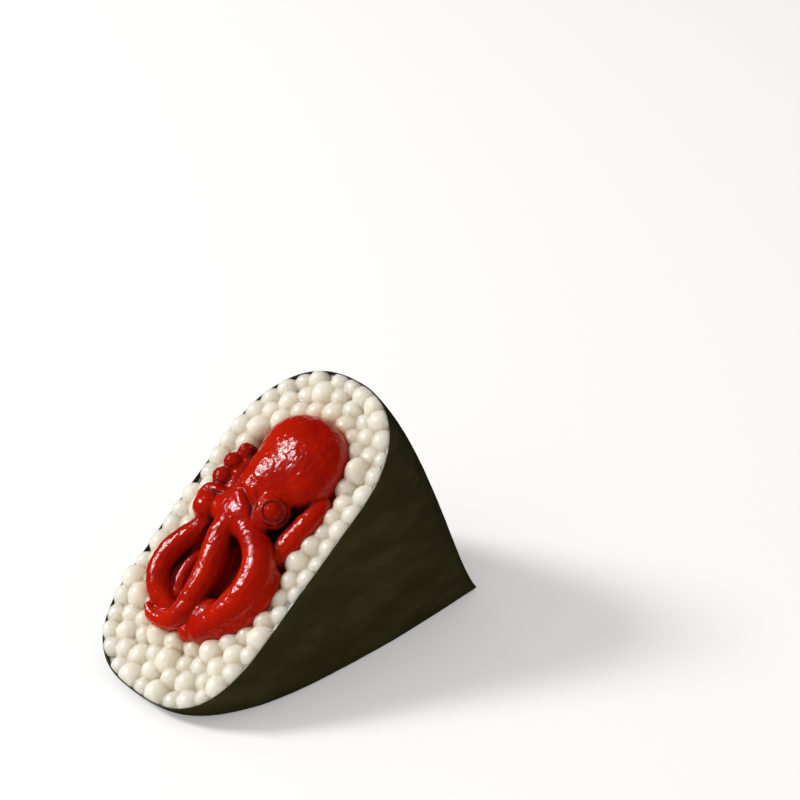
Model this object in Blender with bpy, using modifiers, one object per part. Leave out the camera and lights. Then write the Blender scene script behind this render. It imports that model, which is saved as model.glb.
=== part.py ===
"""Half of a cut onigiri: rice wrapped in nori round a whole small red octopus.

The half lies on its long side with the cut facing up as a ramp.  The nori is a
thin skin that is open at the cut and pressed to a straight edge at the far
corner.  Inside it is the rice, whose top shows as pearls, and in a hollow of
the rice lies the octopus.

Lengths are in millimetres and MM turns them into metres.  The cut face has its
own coordinates: u runs up the ramp, v runs across it and h stands out of it.
"""
import math
import random

import bmesh
import bpy
import numpy as np
from mathutils import Matrix, Vector
from mathutils.geometry import delaunay_2d_cdt

MM = 0.001

# --- the wedge -------------------------------------------------------------
RAMP = math.radians(38.2)      # slope of the cut face
CUT_LENGTH = 71.0              # the cut face along u
LOW_HALF_WIDTH = 18.8          # half the thickness at the low end of the cut
HIGH_HALF_WIDTH = 19.2         # half the thickness at its high end
LOW_CAP = 21.5                 # length of the round low end
HIGH_CAP = 22.0                # length of the round high end
LOW_POWER = 2.7                # how square the low end is (2 is an ellipse)
HIGH_POWER = 2.3
REST_LENGTH = 70.4             # from the low end to the pressed edge
LIP = 1.9                      # height of the low end of the cut
TIP_HALF_WIDTH = 18.0          # half the length of the pressed edge
TIP_HEIGHT = 0.8               # thickness of the pressed edge
TIP_ROUND = 0.35               # how far its two ends bulge
TIP_SETBACK = 2.3              # an inner skin's tip retreats by this times its inset
LOW_PULL = 19.6                # length over which the skin leaves the cut squarely
TOP_PULL = 15.2
REST_PULL = 19.8               # length over which it reaches the edge along the base
BELLY = 1.2                    # how far the flat sides swell halfway

# --- the layers ------------------------------------------------------------
NORI = 0.4                     # thickness of the nori
SLACK = 0.5                    # space between the nori and the rice
RICE_INSET = NORI + SLACK
RICE_RIM = 1.7                 # depth of the rice's edge below the cut
NORI_BANDS = 10
RICE_BANDS = 6

# --- the pearls of rice ------------------------------------------------------
PEARL = 2.35                   # mean radius
PEARL_SPREAD = 0.22            # how far a radius strays from the mean
PEARL_DEPTH = 1.5              # depth of a pearl's centre below the cut
PEARL_LIFT = 0.25              # how far that depth strays
ROW_STEP = 4.0                 # distance between rows of pearls
ROWS = 5
CREASE = -2.1                  # the lowest level between pearls
SEED = 7

# --- the hollow and the octopus ----------------------------------------------
# Outline of the hollow on the cut face, as (u, v).
HOLLOW = [
    (12.2, 1.5), (13.6, 7.4), (18.0, 11.6), (24.0, 13.8), (31.0, 13.0), (36.0, 13.4),
    (42.0, 14.2), (48.5, 13.2), (54.0, 10.8), (59.5, 7.2), (62.3, 1.0), (60.8, -5.6),
    (56.6, -10.2), (51.0, -13.0), (44.5, -14.2), (37.5, -14.3), (33.0, -13.4),
    (27.0, -14.2), (21.5, -12.6), (16.0, -8.8), (12.8, -3.6),
]
HOLLOW_CENTRE = (37.0, 0.0)
HOLLOW_POINTS = 48
# The hollow narrows with depth: (h, share of the outline).
HOLLOW_LEVELS = [(-1.2, 1.0), (-3.4, 0.92), (-5.2, 0.76), (-6.4, 0.5)]
HOLLOW_TOP = 9.0
BODY_GAP = 0.5                 # from the octopus's underside to the hollow
WEB_LEVEL = -1.8               # the skin between the arms
VOXEL = 0.5                    # fineness of the octopus
OCTOPUS_TRIANGLES = 4200

# Soft round masses: (u, v, h), (half length, half width, half height).
MASSES = [
    ((53.2, -1.6, 0.9), (8.0, 9.4, 6.3)),      # mantle, the wide end
    ((49.4, -4.2, 0.8), (6.4, 7.0, 5.6)),      # mantle, its full lower flank
    ((47.2, 0.2, 1.4), (7.4, 6.8, 5.8)),       # mantle, towards the neck
    ((42.4, 1.6, 2.0), (5.2, 4.8, 4.4)),       # neck
    ((38.4, 2.0, 1.9), (3.8, 7.0, 3.9)),       # head
    ((41.2, -5.4, 2.9), (3.3, 3.2, 3.3)),      # right eye
    ((36.2, 8.9, 2.5), (3.0, 2.9, 2.9)),       # left eye
    ((39.2, 9.9, 2.1), (2.2, 2.0, 2.1)),       # brow of the left eye
    ((42.2, 10.6, 1.1), (1.9, 1.8, 1.9)),      # three round folds beside the mantle
    ((45.4, 10.9, 1.2), (1.7, 1.7, 1.8)),
    ((48.2, 10.0, 1.2), (1.5, 1.4, 1.5)),
]
# Arms as points (u, v, h, radius) from the crown to the tip.
ARMS = [
    [(36.0, 6.4, 1.6, 2.6), (32.4, 8.6, 1.9, 2.7), (28.6, 10.0, 1.8, 2.8),
     (24.8, 10.4, 1.5, 2.7), (21.4, 9.9, 1.3, 2.6), (18.6, 8.5, 1.0, 2.3), (16.8, 6.6, 0.7, 1.8)],
    [(36.5, 2.4, 2.6, 2.9), (32.0, 3.2, 2.7, 3.0), (28.4, 2.6, 2.3, 2.9), (25.0, 1.8, 2.0, 2.8),
     (21.8, 1.2, 1.7, 2.7), (18.6, 1.4, 1.3, 2.5), (15.8, 2.8, 1.1, 2.1), (14.6, 5.4, 1.4, 1.6)],
    [(36.8, -1.4, 2.3, 2.9), (35.2, -5.2, 1.9, 3.1), (32.2, -8.6, 1.5, 3.1), (28.4, -10.0, 1.3, 3.1),
     (24.6, -9.4, 1.2, 3.0), (21.0, -7.6, 1.0, 2.8), (17.6, -5.2, 0.8, 2.6), (14.9, -2.6, 0.4, 2.2)],
    [(50.0, -9.2, -1.4, 2.6), (46.0, -10.3, -0.6, 2.7), (42.0, -10.5, -0.2, 2.8),
     (38.4, -10.4, -0.4, 2.7), (35.0, -9.6, -1.0, 2.4)],
    [(27.4, 7.0, -1.0, 1.5), (23.6, 6.6, -0.9, 1.5), (19.6, 5.4, -0.9, 1.3)],
    [(42.8, 6.8, -0.2, 2.6), (46.4, 8.2, -0.2, 2.4), (49.4, 8.0, -0.6, 2.0)],
]
ARM_STEPS = 6

# --- colours -----------------------------------------------------------------
NORI_COLOUR = (0.026, 0.024, 0.010)
RICE_COLOUR = (0.800, 0.760, 0.640)
OCTOPUS_COLOUR = (0.420, 0.018, 0.006)


def cut_frame() -> Matrix:
    """Place the cut face's u, v and h axes in the part's frame."""
    along = Vector((math.cos(RAMP), 0.0, math.sin(RAMP)))
    across = Vector((0.0, 1.0, 0.0))
    out = Vector((-math.sin(RAMP), 0.0, math.cos(RAMP)))
    frame = Matrix((along, across, out)).transposed().to_4x4()
    frame.translation = Vector((-REST_LENGTH / 2, 0.0, LIP)) * MM
    return frame


def to_part(uvh: np.ndarray) -> np.ndarray:
    """Turn points on the cut face, in millimetres, into the part's metres."""
    frame = np.array(cut_frame())
    return uvh * MM @ frame[:3, :3].T + frame[:3, 3]


def to_cut(points: np.ndarray) -> np.ndarray:
    """Turn the part's metres into u, v and h in millimetres."""
    frame = np.array(cut_frame())
    return (points - frame[:3, 3]) @ frame[:3, :3] / MM


def rim_outline(inset: float, cap: int, side: int) -> np.ndarray:
    """Return the cut's outline, moved in by inset, as (u, v) points.

    The round ends are superellipses and straight lines join them.  The points
    run along the high end, down the +v side, along the low end and back up.
    """
    turn = np.linspace(-math.pi / 2, math.pi / 2, cap + 1)
    ends = []
    for power, length, half in (
        (HIGH_POWER, HIGH_CAP - inset, HIGH_HALF_WIDTH - inset),
        (LOW_POWER, LOW_CAP - inset, LOW_HALF_WIDTH - inset),
    ):
        reach = length * np.clip(np.cos(turn), 0.0, 1.0) ** (2 / power)
        across = half * np.sign(turn) * np.abs(np.sin(turn)) ** (2 / power)
        ends.append((reach, across))
    high = np.stack([CUT_LENGTH - HIGH_CAP + ends[0][0], ends[0][1]], axis=1)
    low = np.stack([LOW_CAP - ends[1][0], ends[1][1]], axis=1)[::-1]
    share = np.linspace(0.0, 1.0, side + 1)[1:-1, None]
    down = high[-1] * (1 - share) + low[0] * share
    up = low[-1] * (1 - share) + high[0] * share
    return np.concatenate([high, down, low, up])


def skin_rings(inset: float, cap: int, side: int, start_depth: float, bands: int) -> np.ndarray:
    """Return rings of points on the wrap's surface moved in by inset.

    Each point of the cut's outline runs to the pressed edge along a cubic
    curve: it leaves the cut squarely and reaches the edge along the base, at
    the low end, or straight, at the high end.  Nothing goes below the base.
    """
    rim = rim_outline(inset, cap, side)
    u, v = rim[:, 0], rim[:, 1]
    out = np.array([-math.sin(RAMP), 0.0, math.cos(RAMP)])
    along = np.array([math.cos(RAMP), 0.0, math.sin(RAMP)])
    first = np.outer(u, along) + np.outer(v, [0.0, 1.0, 0.0]) + [-REST_LENGTH / 2, 0.0, LIP]
    low = 0.5 + 0.5 * np.cos(math.pi * np.clip(u / CUT_LENGTH, 0.0, 1.0))
    pull = LOW_PULL * low + TOP_PULL * (1 - low)
    second = first - pull[:, None] * out

    half = HIGH_HALF_WIDTH - inset
    flank = np.clip(np.abs(v) / (LOW_HALF_WIDTH - inset), 0.0, 1.0) ** 12
    across = 1.0 - np.clip(np.abs(v) / half, 0.0, 1.0)
    edge_y = np.sign(v) * (1.0 - across**1.6) * (TIP_HALF_WIDTH - inset)
    edge_y += np.sign(v) * flank * TIP_ROUND * 4 * low * (1 - low)
    edge_x = np.full_like(u, REST_LENGTH / 2 - TIP_SETBACK * inset)
    last = np.stack([edge_x, edge_y, inset + TIP_HEIGHT * (1 - low)], axis=1)
    rest = low[:, None] ** 3
    third = last + rest * [-REST_PULL, 0.0, 0.0] + 0.5 * (1 - rest) * (second - last)
    swell = np.sign(v) * np.clip(np.abs(v) / half, 0.0, 1.0) ** 3 * BELLY

    start = start_depth / (3 * pull)[:, None]
    rings = []
    for step in np.linspace(0.0, 1.0, bands + 1) ** 1.25:
        s = start + (1 - start) * step
        ring = (1 - s) ** 3 * first + 3 * s * (1 - s) ** 2 * second
        ring = ring + 3 * s**2 * (1 - s) * third + s**3 * last
        ring[:, 1] += (4 * s * (1 - s))[:, 0] * swell
        ring[:, 2] = np.maximum(ring[:, 2], inset)
        rings.append(ring * MM)
    return np.array(rings)


def add_rings(mesh: bmesh.types.BMesh, rings: np.ndarray) -> list[list[bmesh.types.BMVert]]:
    """Add rings of points to a mesh and join each to the next with quads."""
    loops = [[mesh.verts.new(point) for point in ring] for ring in rings]
    for near, far in zip(loops, loops[1:]):
        bridge(mesh, near, far)
    return loops


def bridge(mesh: bmesh.types.BMesh, near: list, far: list) -> None:
    """Join two rings of equal count with quads."""
    count = len(near)
    for i in range(count):
        j = (i + 1) % count
        mesh.faces.new((near[i], near[j], far[j], far[i]))


def finish_mesh(mesh: bmesh.types.BMesh, name: str) -> bpy.types.Mesh:
    """Face a closed mesh outwards, triangulate it and return its data."""
    bmesh.ops.recalc_face_normals(mesh, faces=mesh.faces)
    bmesh.ops.triangulate(mesh, faces=mesh.faces)
    data = bpy.data.meshes.new(name)
    mesh.to_mesh(data)
    mesh.free()
    return data


def material(name: str, colour: tuple, roughness: float) -> bpy.types.Material:
    """Return a plain Principled material."""
    made = bpy.data.materials.new(name)
    made.use_nodes = True
    made.diffuse_color = (*colour, 1.0)
    shader = made.node_tree.nodes["Principled BSDF"]
    shader.inputs["Base Color"].default_value = (*colour, 1.0)
    shader.inputs["Roughness"].default_value = roughness
    shader.inputs["Metallic"].default_value = 0.0
    return made


def add_object(name: str, data: bpy.types.Mesh, group: bpy.types.Collection) -> bpy.types.Object:
    """Link a mesh to the scene as a smooth-shaded object."""
    made = bpy.data.objects.new(name, data)
    group.objects.link(made)
    data.shade_smooth()
    data.set_sharp_from_angle(angle=math.radians(40))
    return made


def build_nori(group: bpy.types.Collection) -> bpy.types.Object:
    """Wrap: an outer and an inner skin joined round the cut."""
    mesh = bmesh.new()
    outer = add_rings(mesh, skin_rings(0.0, 20, 6, 0.0, NORI_BANDS))
    inner = add_rings(mesh, skin_rings(NORI, 20, 6, 0.0, NORI_BANDS))
    bridge(mesh, outer[0], inner[0])
    mesh.faces.new(outer[-1])
    mesh.faces.new(inner[-1])
    nori = add_object("nori_wrap", finish_mesh(mesh, "nori_wrap"), group)
    nori.data.materials.append(material("nori", NORI_COLOUR, 0.6))
    return nori


def smooth_loop(points: list, count: int) -> np.ndarray:
    """Return a closed Catmull-Rom curve through points, evenly spaced."""
    knots = np.array(points, dtype=float)
    fine = []
    for i in range(len(knots)):
        four = [knots[(i + k) % len(knots)] for k in (-1, 0, 1, 2)]
        fine.extend(catmull(four, step / 12) for step in range(12))
    fine = np.array(fine + [fine[0]])
    length = np.r_[0.0, np.cumsum(np.linalg.norm(np.diff(fine, axis=0), axis=1))]
    even = np.linspace(0.0, length[-1], count + 1)[:-1]
    return np.stack([np.interp(even, length, fine[:, k]) for k in (0, 1)], axis=1)


def catmull(four: list, t: float) -> np.ndarray:
    """Return the point at t between the middle two of four knots."""
    a, b, c, d = four
    return 0.5 * (2 * b + (c - a) * t + (2 * a - 5 * b + 4 * c - d) * t**2
                  + (3 * b - a - 3 * c + d) * t**3)


def moved_in(loop: np.ndarray, distance: float) -> np.ndarray:
    """Move a closed loop inwards, square to itself."""
    run = np.roll(loop, -1, axis=0) - np.roll(loop, 1, axis=0)
    side = np.stack([run[:, 1], -run[:, 0]], axis=1)
    side /= np.linalg.norm(side, axis=1)[:, None]
    inwards = np.sign(((np.array(HOLLOW_CENTRE) - loop) * side).sum())
    return loop + inwards * distance * side


def bowl(top: float, gap: float, name: str) -> bpy.types.Mesh:
    """Return the hollow's shape, closed at a given level and moved in by gap."""
    outline = moved_in(smooth_loop(HOLLOW, HOLLOW_POINTS), gap)
    centre = np.array(HOLLOW_CENTRE)
    levels = [(top, 1.0)] + [(h + gap, share) for h, share in HOLLOW_LEVELS]
    mesh = bmesh.new()
    rings = []
    for height, share in levels:
        ring = centre + (outline - centre) * share
        rings.append(np.column_stack([ring, np.full(len(ring), height)]) * MM)
    loops = add_rings(mesh, np.array(rings))
    mesh.faces.new(loops[0])
    mesh.faces.new(loops[-1])
    return finish_mesh(mesh, name)


def pearls() -> np.ndarray:
    """Scatter the pearls over the cut face and return rows of (u, v, h, radius).

    Rows follow the rim, each further in.  The pearls then push each other
    apart where they crowd, and those over the hollow are left out.
    """
    dice = random.Random(SEED)
    found = []
    for row in range(ROWS):
        path = rim_outline(RICE_INSET + PEARL + row * ROW_STEP, 60, 30)
        steps = np.linalg.norm(np.roll(path, -1, axis=0) - path, axis=1)
        length = np.r_[0.0, np.cumsum(steps)]
        count = int(length[-1] / (1.93 * PEARL))
        path = np.vstack([path, path[:1]])
        for k in range(count):
            at = (k + 0.5 * (row % 2) + dice.uniform(-0.08, 0.08)) * length[-1] / count % length[-1]
            u, v = (np.interp(at, length, path[:, axis]) for axis in (0, 1))
            radius = PEARL + dice.uniform(-PEARL_SPREAD, PEARL_SPREAD)
            height = -PEARL_DEPTH + dice.uniform(-PEARL_LIFT, PEARL_LIFT)
            found.append((u, v, height, radius, row))
    table = np.array(found)
    spread_apart(table)
    hollow = smooth_loop(HOLLOW, 96)
    depth = np.array([inside_by(point, hollow) for point in table[:, :2]])
    return table[depth < 0.45 * PEARL][:, :4]


def spread_apart(table: np.ndarray) -> None:
    """Push crowding pearls apart; those of the rim's row only slide along it."""
    for _ in range(40):
        gap = table[:, None, :2] - table[None, :, :2]
        distance = np.linalg.norm(gap, axis=2) + np.eye(len(table)) * 99
        wanted = 0.96 * (table[:, None, 3] + table[None, :, 3])
        push = np.clip(wanted - distance, 0.0, None) / distance
        move = 0.25 * (push[..., None] * gap).sum(axis=1)
        table[:, :2] += np.where(table[:, 4:] == 0, 0.0, move)


def inside_by(point: np.ndarray, loop: np.ndarray) -> float:
    """Return how deep a point lies inside a closed loop (negative outside)."""
    gap = loop - point
    nearest = np.linalg.norm(gap, axis=1).min()
    angle = np.unwrap(np.arctan2(gap[:, 1], gap[:, 0]))
    turn = abs(angle[-1] - angle[0])
    return nearest if turn > math.pi else -nearest


def pearl_height(points: np.ndarray, table: np.ndarray) -> np.ndarray:
    """Return the top of the pearls above each (u, v) point."""
    distance = np.linalg.norm(points[:, None] - table[None, :, :2], axis=2)
    dome = table[:, 2] + np.sqrt(np.clip(table[:, 3] ** 2 - distance**2, 0.0, None))
    dome = np.where(distance < table[:, 3], dome, CREASE)
    return np.maximum(dome.max(axis=1), CREASE)


def pearl_points(table: np.ndarray) -> np.ndarray:
    """Return the points that draw the pearls: tops, shoulders and creases."""
    points = [table[:, :2]]
    for k in range(6):
        turn = math.pi / 3 * k
        shoulder = table[:, :2] + 0.6 * table[:, 3:] * [math.cos(turn), math.sin(turn)]
        distance = np.linalg.norm(shoulder[:, None] - table[None, :, :2], axis=2) / table[:, 3]
        points.append(shoulder[distance.argmin(axis=1) == np.arange(len(table))])
    centres = [Vector(point) for point in table[:, :2]]
    _, edges, faces, origin, _, _ = delaunay_2d_cdt(centres, [], [], 0, 1e-5)
    for group, reach in ((edges, 6.2), (faces, 6.8)):
        for members in group:
            own = table[[origin[i][0] for i in members]]
            spread = np.linalg.norm(own[:, :2] - own[:, :2].mean(axis=0), axis=1).max()
            if spread * 2 < reach:
                weight = 1 / own[:, 3]
                points.append((own[:, :2] * weight[:, None]).sum(axis=0)[None] / weight.sum())
    return np.vstack(points)


def build_rice(group: bpy.types.Collection, cutters: bpy.types.Collection) -> bpy.types.Object:
    """Rice: it fills the wrap, shows as pearls at the cut and has a hollow."""
    rings = skin_rings(RICE_INSET, 28, 14, RICE_RIM, RICE_BANDS)
    rim = to_cut(rings[0])
    table = pearls()
    inner = pearl_points(table)
    keep = np.array([inside_by(point, rim[:, :2]) > 0.5 for point in inner])
    flat = np.vstack([rim[:, :2], inner[keep]])
    height = np.r_[rim[:, 2], pearl_height(inner[keep], table)]
    border = [(i, (i + 1) % len(rim)) for i in range(len(rim))]
    plan = delaunay_2d_cdt([Vector(point) for point in flat], border, [], 1, 1e-5)
    origin = [members[0] for members in plan[3]]

    mesh = bmesh.new()
    loops = add_rings(mesh, rings)
    mesh.faces.new(loops[-1])
    place = {i: vert for i, vert in enumerate(loops[0])}
    world = to_part(np.column_stack([flat, height]))
    for i in origin:
        if i not in place:
            place[i] = mesh.verts.new(world[i])
    for face in plan[2]:
        mesh.faces.new([place[origin[i]] for i in face])
    rice = add_object("rice_body", finish_mesh(mesh, "rice_body"), group)
    rice.data.materials.append(material("rice", RICE_COLOUR, 0.4))

    hollow = add_object("hollow", bowl(HOLLOW_TOP, 0.0, "hollow"), cutters)
    hollow.matrix_world = cut_frame()
    hollow.hide_render = True
    hollow.display_type = "WIRE"
    cut = rice.modifiers.new("hollow", "BOOLEAN")
    cut.operation = "DIFFERENCE"
    cut.solver = "EXACT"
    cut.object = hollow
    return rice


def arm_mesh(points: list) -> bpy.types.Mesh:
    """Return one arm: a tapering tube along a smooth curve."""
    knots = np.array([points[0], *points, points[-1]], dtype=float)
    line = []
    for i in range(len(points) - 1):
        line.extend(catmull(knots[i:i + 4], step / ARM_STEPS) for step in range(ARM_STEPS))
    line.append(knots[-1])
    curve = bpy.data.curves.new("arm", "CURVE")
    curve.dimensions = "3D"
    curve.bevel_depth = MM
    curve.bevel_resolution = 4
    curve.use_fill_caps = True
    spline = curve.splines.new("POLY")
    spline.points.add(len(line) - 1)
    for spot, (u, v, h, radius) in zip(spline.points, line):
        spot.co = (u * MM, v * MM, h * MM, 1.0)
        spot.radius = radius
    holder = bpy.data.objects.new("arm", curve)
    bpy.context.scene.collection.objects.link(holder)
    bpy.context.view_layer.update()
    seen = holder.evaluated_get(bpy.context.evaluated_depsgraph_get())
    tube = bpy.data.meshes.new_from_object(seen)
    bpy.data.objects.remove(holder)
    return tube


def build_octopus(group: bpy.types.Collection) -> bpy.types.Object:
    """Octopus: a body that fills the hollow, with mantle, eyes and arms on top."""
    mesh = bmesh.new()
    mesh.from_mesh(bowl(WEB_LEVEL, BODY_GAP, "octopus_base"))
    for centre, size in MASSES:
        shape = Matrix.LocRotScale(Vector(centre) * MM, None, Vector(size) * MM)
        bmesh.ops.create_icosphere(mesh, subdivisions=4, radius=1.0, matrix=shape)
    for points in ARMS:
        mesh.from_mesh(arm_mesh(points))
        for u, v, h, radius in (points[0], points[-1]):
            place = Matrix.Translation(Vector((u, v, h)) * MM)
            bmesh.ops.create_icosphere(mesh, subdivisions=3, radius=radius * MM, matrix=place)
    bmesh.ops.remove_doubles(mesh, verts=mesh.verts, dist=1e-6)
    octopus = add_object("octopus", finish_mesh(mesh, "octopus"), group)
    octopus.matrix_world = cut_frame()
    octopus.data.materials.append(material("octopus", OCTOPUS_COLOUR, 0.25))

    skin = octopus.modifiers.new("skin", "REMESH")
    skin.mode = "VOXEL"
    skin.voxel_size = VOXEL * MM
    skin.use_smooth_shade = True
    soften = octopus.modifiers.new("soften", "SMOOTH")
    soften.factor = 0.5
    soften.iterations = 3
    bpy.context.view_layer.update()
    seen = octopus.evaluated_get(bpy.context.evaluated_depsgraph_get())
    dense = sum(len(face.vertices) - 2 for face in seen.data.polygons)
    lighten = octopus.modifiers.new("lighten", "DECIMATE")
    lighten.ratio = OCTOPUS_TRIANGLES / dense
    lighten.use_collapse_triangulate = True
    return octopus


def main() -> None:
    """Clear the scene and build the three pieces."""
    for old in list(bpy.data.objects):
        bpy.data.objects.remove(old, do_unlink=True)
    group = bpy.data.collections.new("onigiri_half")
    cutters = bpy.data.collections.new("cutters")
    for made in (group, cutters):
        bpy.context.scene.collection.children.link(made)
    build_nori(group)
    build_rice(group, cutters)
    build_octopus(group)


main()
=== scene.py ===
"""Looks of a cut onigiri half: nori wrap, pearls of rice and a red octopus filling.

The half lies on its long side with the cut facing up as a ramp.  Shapes are
worked out in millimetres on the cut face, where u runs up the ramp, v runs
across it and h stands out of it, and are then placed in the part's frame.
"""
import logging
import math
import random
from dataclasses import dataclass
from enum import Enum

import bpy
import numpy as np
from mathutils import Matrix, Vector


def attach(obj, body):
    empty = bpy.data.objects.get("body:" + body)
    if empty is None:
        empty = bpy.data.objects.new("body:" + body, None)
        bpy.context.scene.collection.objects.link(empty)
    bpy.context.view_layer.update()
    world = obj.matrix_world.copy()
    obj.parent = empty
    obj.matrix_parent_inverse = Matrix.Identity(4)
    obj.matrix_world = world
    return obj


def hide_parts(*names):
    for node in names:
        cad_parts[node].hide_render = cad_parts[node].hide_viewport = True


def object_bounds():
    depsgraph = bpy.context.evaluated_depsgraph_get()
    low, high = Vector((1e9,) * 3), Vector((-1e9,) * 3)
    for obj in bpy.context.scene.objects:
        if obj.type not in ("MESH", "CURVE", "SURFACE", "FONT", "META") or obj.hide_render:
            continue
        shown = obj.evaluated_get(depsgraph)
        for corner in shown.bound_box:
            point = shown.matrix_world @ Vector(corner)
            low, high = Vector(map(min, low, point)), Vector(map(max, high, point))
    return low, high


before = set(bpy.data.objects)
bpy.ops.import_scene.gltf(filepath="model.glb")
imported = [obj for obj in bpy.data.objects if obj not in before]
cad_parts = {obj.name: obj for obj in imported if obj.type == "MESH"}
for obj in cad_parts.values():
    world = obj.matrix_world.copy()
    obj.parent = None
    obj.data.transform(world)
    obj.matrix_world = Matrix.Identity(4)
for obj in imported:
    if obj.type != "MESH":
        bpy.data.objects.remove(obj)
CAD_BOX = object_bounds()

MM = 0.001
TINY = 1e-9
NORI_THICKNESS = 0.35
BATCH = 20000  # how many points are measured against the rim or the pearls at once
# What turns a lattice corner and a seed into an even spread of 32-bit words.
HASH_PRIMES = np.array([73856093, 19349663, 83492791])
HASH_SEED = 2654435761
HASH_MIXES = ((15, 2246822519), (13, 3266489917))
WORD = 0xFFFFFFFF
LOG = logging.getLogger("onigiri_half")


class Ride(Enum):
    """Bodies that a piece may move with."""

    WHOLE = "root"


# ---- Noise, curves, nets and meshes that several pieces share ----


def lattice_noise(points: np.ndarray, cell: float, seed: int) -> np.ndarray:
    """Return smooth value noise from -1 to 1 at each point.

    Each corner of a cubic lattice gets a hashed value, and a point takes the
    eight corners round it, weighted by the fade 6t^5 - 15t^4 + 10t^3.

    Args:
        points: Places, one row each, in millimetres.
        cell: Side of a lattice cube in millimetres.
        seed: Number that picks the pattern.

    Returns:
        One value a point.
    """
    scaled = points / cell
    base = np.floor(scaled).astype(np.int64)
    part = scaled - base
    fade = part**3 * (part * (part * 6 - 15) + 10)
    total = np.zeros(len(points))
    for corner in range(8):
        offset = np.array([corner & 1, corner >> 1 & 1, corner >> 2 & 1])
        index = (base + offset) * HASH_PRIMES
        mixed = index[:, 0] ^ index[:, 1] ^ index[:, 2]
        mixed = (mixed ^ seed * HASH_SEED) & WORD
        for shift, factor in HASH_MIXES:
            mixed = (mixed ^ mixed >> shift) * factor & WORD
        value = ((mixed ^ mixed >> 16) & WORD) / 2**31 - 1.0
        weight = np.where(offset == 1, fade, 1 - fade).prod(axis=1)
        total += value * weight
    return total


def fractal_noise(points: np.ndarray, cell: float, octaves: int, seed: int) -> np.ndarray:
    """Return a sum of lattice noises, each of half the cell and half the weight."""
    total = np.zeros(len(points))
    for octave in range(octaves):
        total += lattice_noise(points, cell / 2**octave, seed + octave) / 2**octave
    return total


def smooth_step(low: float, high: float, value: np.ndarray) -> np.ndarray:
    """Return 0 below low, 1 above high, and a soft rise between."""
    t = np.clip((value - low) / (high - low), 0.0, 1.0)
    return t * t * (3 - 2 * t)


def catmull_line(knots: np.ndarray, steps: int) -> np.ndarray:
    """Return points on the Catmull-Rom curve through knots.

    Args:
        knots: The points that the curve passes through.
        steps: Points from one knot to the next.

    Returns:
        The curve's points, the last of them on the last knot.
    """
    line = np.vstack([knots[:1], knots, knots[-1:]])
    a, b, c, d = (line[k:len(line) - 3 + k, None] for k in range(4))
    t = (np.arange(steps) / steps)[None, :, None]
    curve = 0.5 * (2 * b + (c - a) * t + (2 * a - 5 * b + 4 * c - d) * t**2
                   + (3 * b - a - 3 * c + d) * t**3)
    return np.vstack([curve.reshape(-1, knots.shape[1]), knots[-1:]])


def ring_faces(rings: int, count: int) -> np.ndarray:
    """Return the quads that join rings of points, each ring to the next."""
    row, col = np.meshgrid(np.arange(rings - 1), np.arange(count), indexing="ij")
    side = (col + 1) % count
    near, far = row * count, (row + 1) * count
    return np.stack([near + col, near + side, far + side, far + col], axis=-1).reshape(-1, 4)


def zip_faces(start: int, count: int) -> np.ndarray:
    """Return quads that draw a ring of count points shut like a zip."""
    j = np.arange(count // 2 - 1)
    near, far = j, count - 1 - j
    return start + np.stack([near, far, far - 1, near + 1], axis=-1)


def sphere_grid(turns: int, rows: int) -> tuple[np.ndarray, list]:
    """Return a unit ball's points and faces: even rings and a point at each pole."""
    tilt = np.pi * (np.arange(rows) + 1) / (rows + 1)
    turn = 2 * np.pi * np.arange(turns) / turns
    tilt, turn = np.meshgrid(tilt, turn, indexing="ij")
    flat = np.sin(tilt)
    ball = np.stack([flat * np.cos(turn), flat * np.sin(turn), np.cos(tilt)], axis=-1)
    points = np.vstack([ball.reshape(-1, 3), [[0, 0, 1], [0, 0, -1]]])
    quads = ring_faces(rows, turns)[:, ::-1].tolist()
    col = np.arange(turns)
    side = (col + 1) % turns
    top = np.stack([np.full(turns, rows * turns), col, side], axis=-1).tolist()
    low = (rows - 1) * turns
    bottom = np.stack([np.full(turns, rows * turns + 1), low + side, low + col], axis=-1).tolist()
    return points, quads + top + bottom


def make_piece(name: str, points: np.ndarray, faces: list) -> bpy.types.Object:
    """Put points in metres and faces into a smooth-shaded object at the origin."""
    mesh = bpy.data.meshes.new(name)
    mesh.from_pydata(points.tolist(), [], faces)
    mesh.update()
    mesh.shade_smooth()
    piece = bpy.data.objects.new(name, mesh)
    bpy.context.scene.collection.objects.link(piece)
    return piece


def set_attribute(piece: bpy.types.Object, name: str, values: np.ndarray) -> None:
    """Store one number a point on a piece, for its material to read."""
    layer = piece.data.attributes.new(name, "FLOAT", "POINT")
    layer.data.foreach_set("value", np.ascontiguousarray(values, dtype=np.float32))


def mesh_points(mesh: bpy.types.Mesh) -> np.ndarray:
    """Return a mesh's points as an array."""
    flat = np.empty(len(mesh.vertices) * 3, dtype=np.float32)
    mesh.vertices.foreach_get("co", flat)
    return flat.reshape(-1, 3).astype(float)


def set_mesh_points(mesh: bpy.types.Mesh, points: np.ndarray) -> None:
    """Write an array of points back into a mesh."""
    mesh.vertices.foreach_set("co", np.ascontiguousarray(points, dtype=np.float32).ravel())
    mesh.update()


def ring_normals(rings: np.ndarray) -> np.ndarray:
    """Return unit normals of a ringed surface, pointing away from its middle."""
    along = np.gradient(rings, axis=0)
    around = np.roll(rings, -1, axis=1) - np.roll(rings, 1, axis=1)
    normal = np.cross(around, along)
    length = np.linalg.norm(normal, axis=-1, keepdims=True)
    normal = normal / np.maximum(length, TINY)
    middle = rings.mean(axis=(0, 1))
    outward = np.sign(((rings - middle) * normal).sum(axis=-1).mean())
    return normal * outward


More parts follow.
